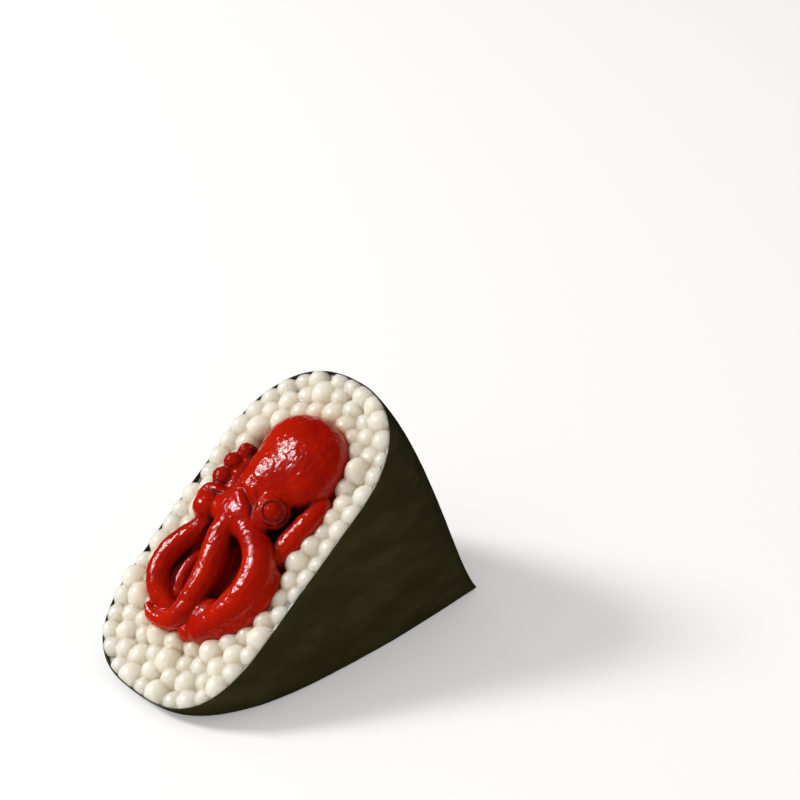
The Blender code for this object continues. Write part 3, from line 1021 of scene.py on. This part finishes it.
    def footprint(self, p: np.ndarray) -> np.ndarray:
        """Return (u / a)^2 + (v / b)^2 on the base's ellipse, 1 on its edge."""
        flat = (p[:, :2] - self.base.centre[:2]) / np.array(self.base.size[:2])
        return (flat**2).sum(axis=1)

    def gradient(self, p: np.ndarray, value: np.ndarray) -> np.ndarray:
        """Return the distance's slope, from a small step along each axis."""
        slopes = [self.distance(p + self.probe * axis) - value for axis in np.eye(3)]
        return np.stack(slopes, axis=1) / self.probe

    def rough_body(self) -> bpy.types.Object:
        """Build a coarse union of balls that gives the piece an even net."""
        ball, faces = sphere_grid(turns=40, rows=24)
        shapes = [ball * lobe.size + lobe.centre for lobe in self.lobes]
        shapes += [ball * eye.radius + eye.centre for eye in self.eyes]
        for arm in self.arms:
            shapes += [ball * spot[3] + spot[:3] for spot in arm.line(steps=5)]
        low = ball * self.base.size + self.base.centre
        low[:, 2] = np.minimum(low[:, 2], self.web_level)
        shapes.append(low)
        every = repeated(faces, len(ball), len(shapes))
        rough = make_piece("octopus_flesh", np.vstack(shapes) * MM, every)
        wrap_in_net(rough, self.voxel)
        return rough

    def build(self) -> bpy.types.Object:
        """Build the octopus: net, exact surface, wrinkles and painted shade in its folds.

        The net's points slide along the slope onto the exact surface, with a
        little smoothing between, and then move by the skin's wrinkles.

        Returns:
            The finished piece.
        """
        piece = self.rough_body()
        p = mesh_points(piece.data) / MM
        pairs = edge_pairs(piece.data)
        for step in range(self.slides):
            value = self.distance(p)
            if step % 2 == 0:
                slope = self.gradient(p, value)
            size = np.maximum((slope**2).sum(axis=1), self.least_slope)
            move = np.clip(value / size, -self.longest_slide, self.longest_slide)
            p = p - move[:, None] * slope
            if step < self.easings:
                p = relaxed(p, pairs, self.easing)
        normal = self.gradient(p, self.distance(p))
        normal /= np.maximum(np.linalg.norm(normal, axis=1, keepdims=True), TINY)
        hollow = self.painted_fold_shade(p, normal)
        p = p + normal * self.wrinkles(p)[:, None]
        set_mesh_points(piece.data, self.wedge.place(p))
        # Painted shade: the hollow attribute darkens and dulls the skin deep in folds.
        set_attribute(piece, "hollow", hollow)
        face_outwards(piece)
        piece.data.shade_smooth()
        piece.data.materials.append(OCTOPUS.make())
        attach(piece, Ride.WHOLE.value)
        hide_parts("octopus")
        return piece

    def painted_fold_shade(self, p: np.ndarray, normal: np.ndarray) -> np.ndarray:
        """Return the painted fold shade: 0 in the open and 1 deep between folds.

        A point lifted off open skin is as far from the octopus as its lift; in
        a fold it is nearer, and the missing share counts.
        """
        shut = np.zeros(len(p))
        for lift in self.open_lifts:
            open_share = self.distance(p + normal * lift) / lift
            shut += np.clip(1.0 - open_share, 0.0, 1.0) / len(self.open_lifts)
        return smooth_step(self.fold_shade_from, 1.0, shut)

    def wrinkles(self, p: np.ndarray) -> np.ndarray:
        """Return the height of the skin: two ridged noises and a slow swell."""
        coarse = 1 - 2 * np.abs(lattice_noise(p * [0.6, 1.0, 1.0], cell=1.1, seed=5))
        fine = 1 - 2 * np.abs(lattice_noise(p * [0.7, 1.0, 1.0], cell=0.65, seed=9))
        slow = fractal_noise(p, cell=4.5, octaves=2, seed=14)
        return self.coarse_wrinkle * coarse + self.fine_wrinkle * fine + self.swell * slow


# ---- The rice ----


@dataclass(frozen=True)
class PearlLayer:
    """One layer of pearls: where it lies and how fine its balls are."""

    name: str
    depth: float
    rim_gap: float
    rows: int
    turns: int
    rings: int
    seed: int
    stuck: bool = False


@dataclass
class Rice:
    """The rice: layers of pearls, pressed together, over a solid core.

    Lengths are in millimetres.  The closeness, the presses, the tip's room, the
    deepest start and what is least clear or apart count in a pearl's radius.
    The core's steps are round a rim's ends and along its sides, and its rings
    are those of its top and of its underside.
    """

    wedge: Wedge
    filling: Octopus
    radius: float = 2.4
    spread: float = 0.38
    lift: float = 0.55
    row_step: float = 3.4
    closeness: float = 0.785
    wall_press: float = 0.62
    press: float = 0.55
    seam: float = 0.05
    film: float = 0.26
    film_ease: float = 0.4
    nori: float = NORI_THICKNESS
    rounds: int = 60
    round_push: float = 0.25
    slide_share: float = 0.5
    longest_slide: float = 1.0
    least_slope: float = 0.2
    jitter: float = 0.1
    filling_edge: float = 0.96
    deepest_start: float = 0.6
    least_clear: float = 0.15
    least_apart: float = 0.60
    tip_room: float = 0.55
    filling_gap: float = 0.06
    wall_gap: float = 0.02
    wall_lean: float = 0.30
    lean_from: float = 0.6
    low_gap: float = 0.06
    top_gap: float = 0.12
    base_gap: float = 0.45
    stretch: tuple = (-0.04, 0.17)
    stretch_bias: tuple = (1.0, 1.0, 0.5)
    lump: float = 0.045
    lump_cell: float = 0.9
    lump_reach: float = 40.0
    stuck_floor: float = -2.4
    crease_shade_reach: float = 0.75
    stain_reach: float = 1.05
    core_depth: float = 2.5
    core_gap: float = 0.03
    core_inset: float = 0.55
    core_base_gap: float = 0.3
    core_start: float = 2.4
    core_lump: float = 0.35
    core_dip: float = 4.5
    core_crease_shade: float = 0.3
    core_steps: tuple = (90, 40)
    core_rings: tuple = (24, 18)
    lip_shares: tuple = (0.996, 0.975, 0.955, 0.93)
    lip_drop: float = 0.85
    lip_rise: float = 0.72
    lip_ragged: float = 0.30
    lip_range: tuple = (0.10, 1.4)
    layers: tuple = (
        PearlLayer("rice_pearls", depth=1.15, rim_gap=0.0, rows=6, turns=26, rings=16,
                   seed=7, stuck=True),
        PearlLayer("rice_pearls_below", depth=3.2, rim_gap=0.6, rows=5, turns=12, rings=7,
                   seed=19),
    )

    @property
    def middle(self) -> np.ndarray:
        """The middle of the cut face, as (u, v)."""
        return np.array([self.wedge.cut_length / 2, 0.0])

    def wall(self) -> tuple[np.ndarray, np.ndarray]:
        """Return the nori's rim as points and the unit directions inwards."""
        rim = self.wedge.rim(0.0, cap=240, side=120)
        run = np.roll(rim, -1, axis=0) - np.roll(rim, 1, axis=0)
        inward = np.stack([-run[:, 1], run[:, 0]], axis=1)
        inward /= np.linalg.norm(inward, axis=1, keepdims=True)
        if ((self.middle - rim) * inward).sum() < 0:
            inward = -inward
        return rim, inward

    def layout(self, layer: PearlLayer) -> np.ndarray:
        """Scatter a layer's pearls in rows that follow the rim.

        Args:
            layer: The layer to fill.

        Returns:
            Rows of (u, v, h, radius).
        """
        dice = random.Random(layer.seed)
        found = []
        for row in range(layer.rows):
            inset = self.nori + layer.rim_gap + self.wall_press * self.radius + row * self.row_step
            path = self.wedge.rim(inset, cap=60, side=30)
            path = np.vstack([path, path[:1]])
            length = np.r_[0.0, np.cumsum(np.linalg.norm(np.diff(path, axis=0), axis=1))]
            count = int(length[-1] / (2 * self.closeness * self.radius))
            for k in range(count):
                nudge = dice.uniform(-self.jitter, self.jitter)
                share = (k + 0.5 * (row % 2) + nudge) / count % 1.0
                u, v = (np.interp(share * length[-1], length, path[:, axis]) for axis in (0, 1))
                size = self.radius + dice.uniform(-self.spread, self.spread)
                height = -layer.depth + dice.uniform(-self.lift, self.lift)
                found.append((u, v, height, size, row))
        return self.settled(np.array(found), layer)

    def settled(self, table: np.ndarray, layer: PearlLayer) -> np.ndarray:
        """Let the pearls push each other, the nori and the octopus apart.

        Args:
            table: Rows of (u, v, h, radius, row).
            layer: The layer they are in.

        Returns:
            Rows of (u, v, h, radius) of the pearls that have room.
        """
        table = table[self.beside_filling(table)]
        rim, inward = self.wall()
        for _ in range(self.rounds):
            size = table[:, 3]
            gap = table[:, None, :2] - table[None, :, :2]
            away = np.linalg.norm(gap, axis=2)
            np.fill_diagonal(away, np.inf)
            wanted = self.closeness * (size[:, None] + size[None])
            push = np.clip(wanted - away, 0.0, None) / away
            table[:, :2] += self.round_push * (push[..., None] * gap).sum(axis=1)
            self.leave_filling(table)
            nearest = np.linalg.norm(table[:, None, :2] - rim[None], axis=2).argmin(axis=1)
            held = ((table[:, :2] - rim[nearest]) * inward[nearest]).sum(axis=1)
            need = self.nori + layer.rim_gap + self.wall_press * size - held
            need = np.where(table[:, 4] == 0, need, np.clip(need, 0.0, None))
            table[:, :2] += need[:, None] * inward[nearest]
        table = table[self.with_room(table)][:, :4]
        return table[self.wedge.place(table[:, :3])[:, 2] / MM > self.tip_room * self.radius]

    def beside_filling(self, table: np.ndarray) -> np.ndarray:
        """Return which pearls start outside the octopus's footprint."""
        outside = self.filling.footprint(table) > self.filling_edge
        sunk = -self.filling.distance(table[:, :3])
        return outside & (sunk < self.deepest_start * table[:, 3])

    def leave_filling(self, table: np.ndarray) -> None:
        """Slide pearls along the cut until they only press on the octopus."""
        value = self.filling.distance(table[:, :3])
        slope = self.filling.gradient(table[:, :3], value)[:, :2]
        slope /= np.maximum(np.linalg.norm(slope, axis=1, keepdims=True), self.least_slope)
        need = np.clip(self.press * table[:, 3] - value, 0.0, self.longest_slide)
        table[:, :2] += self.slide_share * need[:, None] * slope

    def with_room(self, table: np.ndarray) -> np.ndarray:
        """Return which pearls keep their place where two still crowd."""
        keep = self.filling.distance(table[:, :3]) > self.least_clear * table[:, 3]
        for i in range(len(table)):
            gap = np.linalg.norm(table[:i, :2] - table[i, :2], axis=1)
            crowd = gap < self.least_apart * (table[:i, 3] + table[i, 3])
            keep[i] = keep[i] and not (crowd & keep[:i]).any()
        return keep

    def pressed(self, grains: np.ndarray, table: np.ndarray) -> np.ndarray:
        """Flatten pearls where they meet each other, the octopus and the nori.

        Between two balls stands the plane where their surfaces would cross.  A
        point past it by x moves back by seam * ln(1 + exp(x / seam)), which
        leaves a flat with a soft edge.

        Args:
            grains: The pearls' points, one array a pearl.
            table: Rows of (u, v, h, radius).

        Returns:
            The points after pressing.
        """
        centre, size = table[:, :3], table[:, 3]
        for i in range(len(table)):
            away = np.linalg.norm(centre - centre[i], axis=1)
            for j in np.flatnonzero((away < size + size[i]) & (away > 0)):
                line = (centre[j] - centre[i]) / away[j]
                plane = 0.5 * (away[j] + (size[i] ** 2 - size[j] ** 2) / away[j])
                past = ((grains[i] - centre[i]) @ line - plane) / self.seam
                back = self.seam * np.logaddexp(0.0, past)
                grains[i] -= back[:, None] * line
        flat = grains.reshape(-1, 3)
        value = self.filling.distance(flat)
        close = np.flatnonzero(value < 5 * self.filling_gap)
        slope = self.filling.gradient(flat[close], value[close])
        inside = (self.filling_gap - value[close]) / self.seam
        flat[close] += (self.seam * np.logaddexp(0.0, inside))[:, None] * slope
        return self.inside_wall(flat).reshape(grains.shape)

    def inside_wall(self, points: np.ndarray) -> np.ndarray:
        """Hold points inside the nori, the more so below the cut, and in the part's box."""
        rim, inward = self.wall()
        rim, inward = rim[::3], inward[::3]
        for start in range(0, len(points), BATCH):
            part = points[start:start + BATCH]
            nearest = ((part[:, None, :2] - rim[None]) ** 2).sum(axis=2).argmin(axis=1)
            held = ((part[:, :2] - rim[nearest]) * inward[nearest]).sum(axis=1)
            lean = self.wall_lean * np.clip(-self.lean_from - part[:, 2], 0.0, None)
            need = np.clip(self.nori + self.wall_gap + lean - held, 0.0, None)
            part[:, :2] += need[:, None] * inward[nearest]
        placed = self.wedge.place(points)
        low_end = self.wedge.origin[0] + self.low_gap
        bottom, top = self.nori + self.base_gap, self.wedge.height - self.top_gap
        placed[:, 0] = np.maximum(placed[:, 0], low_end * MM)
        placed[:, 2] = np.clip(placed[:, 2], bottom * MM, top * MM)
        return self.wedge.unplace(placed)

    def build_layer(self, layer: PearlLayer) -> bpy.types.Object:
        """Build a layer of pearls as one piece.

        Each pearl is a ball stretched by up to a sixth along a random
        direction, lumped by a slow noise and pressed by its neighbours.
        """
        table = self.layout(layer)
        dice = np.random.default_rng(layer.seed)
        ball, faces = sphere_grid(layer.turns, layer.rings)
        count = len(table)
        axis = dice.normal(size=(count, 3)) * self.stretch_bias
        axis /= np.linalg.norm(axis, axis=1, keepdims=True)
        stretch = dice.uniform(*self.stretch, count)[:, None, None]
        along = np.einsum("vk,ck->cv", ball, axis)[..., None]
        shape = (ball[None] + stretch * along * axis[:, None]) / (1 + stretch * 0.33)
        far_off = dice.uniform(-self.lump_reach, self.lump_reach, (count, 1, 3))
        noise = fractal_noise((shape + far_off).reshape(-1, 3), self.lump_cell, octaves=2, seed=31)
        lump = 1 + self.lump * noise
        grains = shape * lump.reshape(count, -1, 1) * table[:, None, 3:] + table[:, None, :3]
        points = self.pressed(grains, table).reshape(-1, 3)
        if layer.stuck:
            points[:, 2] = np.maximum(points[:, 2], self.stuck_floor)
        every = repeated(faces, len(ball), count)
        piece = make_piece(layer.name, self.wedge.place(points), every)
        if layer.stuck:
            self.stick(piece)
            points = self.wedge.unplace(mesh_points(piece.data))
        face_outwards(piece)
        piece.data.shade_smooth()
        set_attribute(piece, "stain", self.stain(points))
        # Painted shade: the seam attribute greys the creases between pearls.
        set_attribute(piece, "seam", self.crease_shade_share(points, table))
        self.dress(piece)
        LOG.info("%s has %d pearls", layer.name, count)
        return piece

    def stick(self, piece: bpy.types.Object) -> None:
        """Join pearls that touch into one skin, as cooked starch does.

        An even net wraps all the pearls and its points settle a little towards
        the middle of their neighbours; the seams stay as creases.
        """
        wrap_in_net(piece, self.film)
        p = relaxed(mesh_points(piece.data), edge_pairs(piece.data), self.film_ease)
        set_mesh_points(piece.data, p)

    def crease_shade_share(self, points: np.ndarray, table: np.ndarray) -> np.ndarray:
        """Return the painted crease shade: 1 where a point is as near to a second pearl as to its
        own, and 0 away.
        """
        lead = np.empty(len(points))
        for start in range(0, len(points), BATCH):
            part = points[start:start + BATCH, None]
            away = np.linalg.norm(part - table[None, :, :3], axis=2) - table[None, :, 3]
            away.partition(1, axis=1)
            lead[start:start + BATCH] = away[:, 1] - away[:, 0]
        return smooth_step(self.crease_shade_reach, 0.0, lead)

    def stain(self, points: np.ndarray) -> np.ndarray:
        """Return how much of the octopus's colour has run into the rice."""
        near = self.filling.distance(points)
        patch = 0.75 + 0.25 * lattice_noise(points, cell=3.0, seed=44)
        return np.exp(-np.clip(near, 0.0, None) / self.stain_reach) * patch

    def build_core(self) -> bpy.types.Object:
        """Build the solid core that lies under the pearls.

        Its top is a disc of rings drawn in from the wall.  A thin lip of rice
        stands up against the nori, higher on the near side, and the middle
        dips under the octopus.  The underside follows the wrap.

        Returns:
            The finished piece.
        """
        inset = self.nori + self.core_gap
        deep = inset + self.core_inset
        above, below = self.core_rings
        rim = self.wedge.rim(inset, *self.core_steps)
        edge = np.column_stack([rim, -self.lip_depth(rim)])
        rings = [edge]
        for share in (*self.lip_shares, *np.linspace(0.89, 0.04, above)):
            ring = edge.copy()
            ring[:, :2] = self.middle + (edge[:, :2] - self.middle) * share
            fall = smooth_step(0.98, 0.93, share)
            floor = -self.core_depth + self.core_lump * lattice_noise(ring, cell=2.6, seed=52)
            floor -= smooth_step(1.05, 0.80, self.filling.footprint(ring)) * self.core_dip
            ring[:, 2] = ring[:, 2] * (1 - fall) + floor * fall
            rings.append(ring)
        top = np.array(rings)[::-1] @ self.wedge.axes + self.wedge.origin
        deep_rim = self.wedge.rim(deep, *self.core_steps)
        skin = self.wedge.skin(deep_rim, deep, self.core_start, np.linspace(0.0, 1.0, below))
        rings = np.concatenate([top, skin])
        rings[..., 2] = np.maximum(rings[..., 2], inset + self.core_base_gap)
        cap, side = self.core_steps
        piece = zipped_piece("rice_core", rings, cap + side // 2)
        points = self.wedge.unplace(mesh_points(piece.data))
        set_attribute(piece, "stain", self.stain(points))
        # The core, deep under the pearls, gets an even share of the painted crease shade.
        set_attribute(piece, "seam", np.full(len(points), self.core_crease_shade))
        self.dress(piece)
        return piece

    def lip_depth(self, rim: np.ndarray) -> np.ndarray:
        """Return how far under the cut the lip of rice stops along the rim."""
        near = smooth_step(6.0, -6.0, rim[:, 1])
        flat = np.column_stack([rim, np.zeros(len(rim))])
        ragged = fractal_noise(flat, cell=2.4, octaves=2, seed=61)
        drop = self.lip_drop - self.lip_rise * near + self.lip_ragged * ragged * (1.2 - near)
        return np.clip(drop, *self.lip_range)

    def dress(self, piece: bpy.types.Object) -> None:
        """Give a piece of rice its finish and its place in the frame."""
        made = bpy.data.materials.get(RICE.name + "_finish") or RICE.make()
        made.name = RICE.name + "_finish"
        piece.data.materials.append(made)
        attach(piece, Ride.WHOLE.value)
        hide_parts("rice_body")

    def build(self) -> list[bpy.types.Object]:
        """Build the core and every layer of pearls."""
        return [self.build_core()] + [self.build_layer(layer) for layer in self.layers]


# ---- The studio ----


@dataclass
class Studio:
    """Pale floor, soft light and the camera.

    The key and the fill are (azimuth, elevation, watts, side in metres).
    """

    azimuth: float = -43.45
    elevation: float = 30.13
    distance: float = 0.37708
    field_of_view: float = 22.0
    aim: tuple = (0.0191, -0.0134, 0.0476)
    reach: float = 1.5
    key: tuple = (-142.0, 38.0, 17.0, 0.38)
    fill: tuple = (-95.0, 50.0, 4.5, 1.6)
    light_aim: tuple = (0.0, 0.0, 0.02)
    sky: float = 0.40
    sky_colour: tuple = (1.0, 0.97, 0.92, 1.0)
    floor_half: float = 3.0
    floor_drop: float = 0.0002
    floor_glow: float = 0.26
    floor_colour: tuple = (0.80, 0.80, 0.79, 1.0)

    def direction(self, azimuth: float, elevation: float) -> Vector:
        """Return the direction from the part towards a viewer."""
        a, e = math.radians(azimuth), math.radians(elevation)
        return Vector((math.sin(a) * math.cos(e), -math.cos(a) * math.cos(e), math.sin(e)))

    def add_camera(self) -> None:
        """Place the camera and make it the scene's."""
        lens = bpy.data.cameras.new("camera")
        lens.sensor_width = 36.0
        lens.angle = math.radians(self.field_of_view)
        lens.clip_start = 0.01
        camera = bpy.data.objects.new("camera", lens)
        back = self.direction(self.azimuth, self.elevation)
        camera.location = Vector(self.aim) + back * self.distance
        camera.rotation_euler = (-back).to_track_quat("-Z", "Y").to_euler()
        bpy.context.scene.collection.objects.link(camera)
        bpy.context.scene.camera = camera

    def add_light(
        self, name: str, azimuth: float, elevation: float, power: float, size: float
    ) -> bpy.types.Object:
        """Place a square soft light at the studio's reach, aimed at the part.

        Args:
            name: The light's name.
            azimuth: Degrees round the part, as for the camera.
            elevation: Degrees above the floor.
            power: Watts.
            size: The square's side in metres.

        Returns:
            The light.
        """
        lamp = bpy.data.lights.new(name, "AREA")
        lamp.energy = power
        lamp.size = size
        holder = bpy.data.objects.new(name, lamp)
        towards = self.direction(azimuth, elevation)
        holder.location = Vector(self.light_aim) + towards * self.reach
        holder.rotation_euler = towards.to_track_quat("Z", "Y").to_euler()
        bpy.context.scene.collection.objects.link(holder)
        return holder

    def add_floor(self) -> None:
        """Lay a wide pale floor just under the part."""
        signs = np.array([(-1, -1, 0), (1, -1, 0), (1, 1, 0), (-1, 1, 0)])
        corners = signs * self.floor_half - [0, 0, self.floor_drop]
        floor = make_piece("floor", corners, [[0, 1, 2, 3]])
        paint = bpy.data.materials.new("floor")
        paint.use_nodes = True
        shader = paint.node_tree.nodes["Principled BSDF"]
        set_inputs(shader, {"Base Color": self.floor_colour, "Roughness": 0.8})
        set_inputs(shader, {"Emission Color": (1.0, 1.0, 1.0, 1.0)})
        set_inputs(shader, {"Emission Strength": self.floor_glow})
        floor.data.materials.append(paint)
        floor.visible_glossy = False

    def add_sky(self) -> None:
        """Light everything evenly with a white sky."""
        world = bpy.data.worlds.new("studio")
        world.use_nodes = True
        background = world.node_tree.nodes["Background"]
        set_inputs(background, {"Color": self.sky_colour, "Strength": self.sky})
        bpy.context.scene.world = world
        world.cycles_visibility.glossy = False

    def build(self) -> None:
        """Set up floor, sky, lights and camera; only the key shows in glossy skins."""
        self.add_floor()
        self.add_sky()
        self.add_light("key", *self.key)
        fill = self.add_light("fill", *self.fill)
        fill.visible_glossy = False
        self.add_camera()
        bpy.context.scene.view_settings.view_transform = "Standard"


def main() -> None:
    """Build every piece in order and report each one."""
    logging.basicConfig(level=logging.INFO, format="%(name)s: %(message)s")
    low, high = CAD_BOX
    wedge = Wedge(rest_length=(high.x - low.x) / MM, height=high.z / MM)
    octopus = Octopus(wedge)
    pieces = [NoriWrap(wedge).build(), octopus.build()]
    pieces += Rice(wedge, octopus).build()
    for piece in pieces:
        LOG.info("%s: %d faces", piece.name, len(piece.data.polygons))
    Studio().build()


if __name__ == "__main__":
    main()
